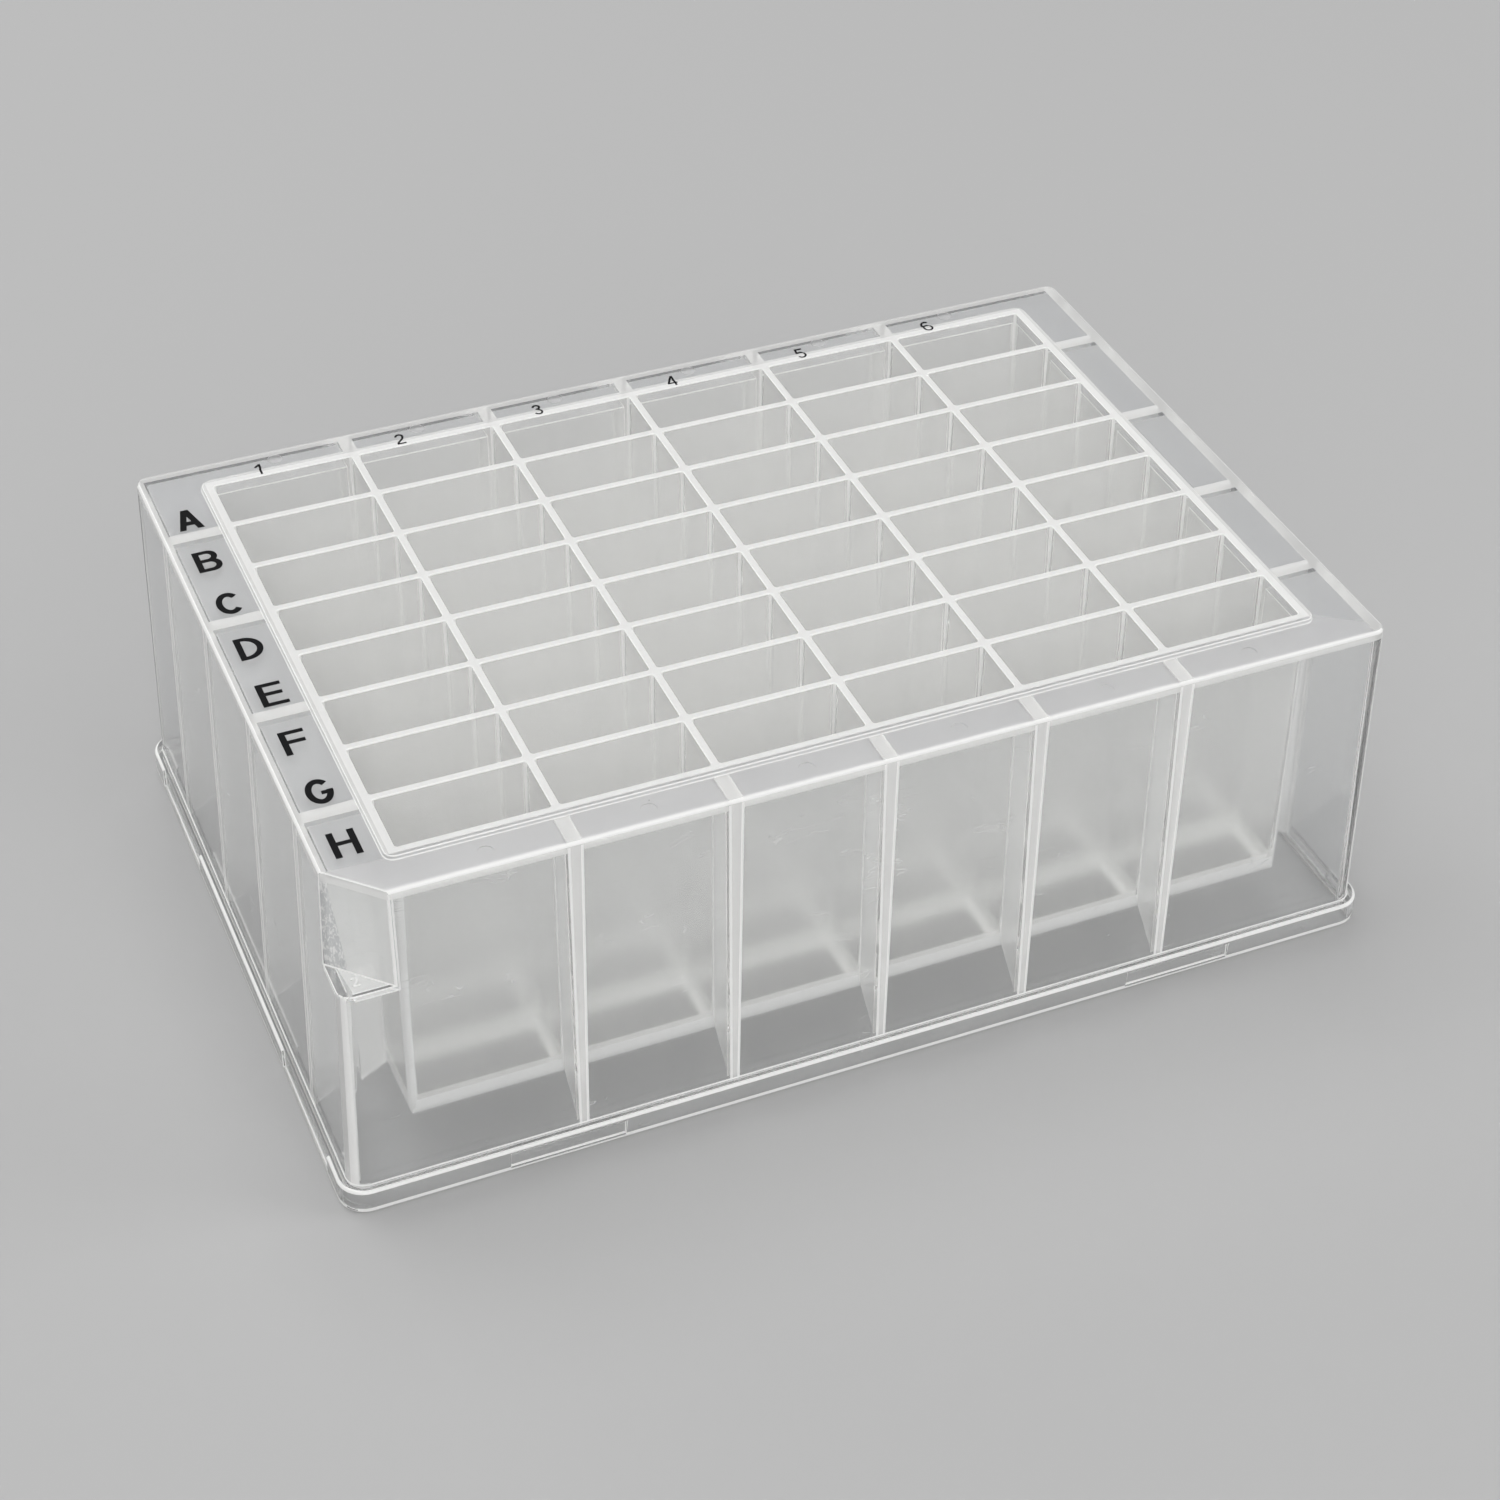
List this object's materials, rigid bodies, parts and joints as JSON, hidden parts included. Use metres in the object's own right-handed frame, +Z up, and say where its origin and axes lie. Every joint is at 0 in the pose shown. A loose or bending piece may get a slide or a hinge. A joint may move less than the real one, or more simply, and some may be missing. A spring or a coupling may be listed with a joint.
{
  "type": "well plate",
  "caption": "Deep-well laboratory plate, moulded in one piece of translucent plastic, with rectangular wells in a grid, a skirt with a notched corner, and printed row and column marks.",
  "frame": {"origin": "middle of the footprint, on the plane the plate stands on", "axes": "+X along the rows, from the first column to the last; +Y across the rows, towards row A; +Z up, out of the wells"},
  "size_m": [0.1278, 0.0854, 0.044],
  "materials": {
    "natural_plastic": "natural translucent polypropylene, fine grain inside the wells, smoother on the skirt",
    "ink": "black printing ink"
  },
  "bodies": {
    "root": {"plate": "natural_plastic", "row_letters": "ink", "column_numbers": "ink"}
  },
  "joints": []
}
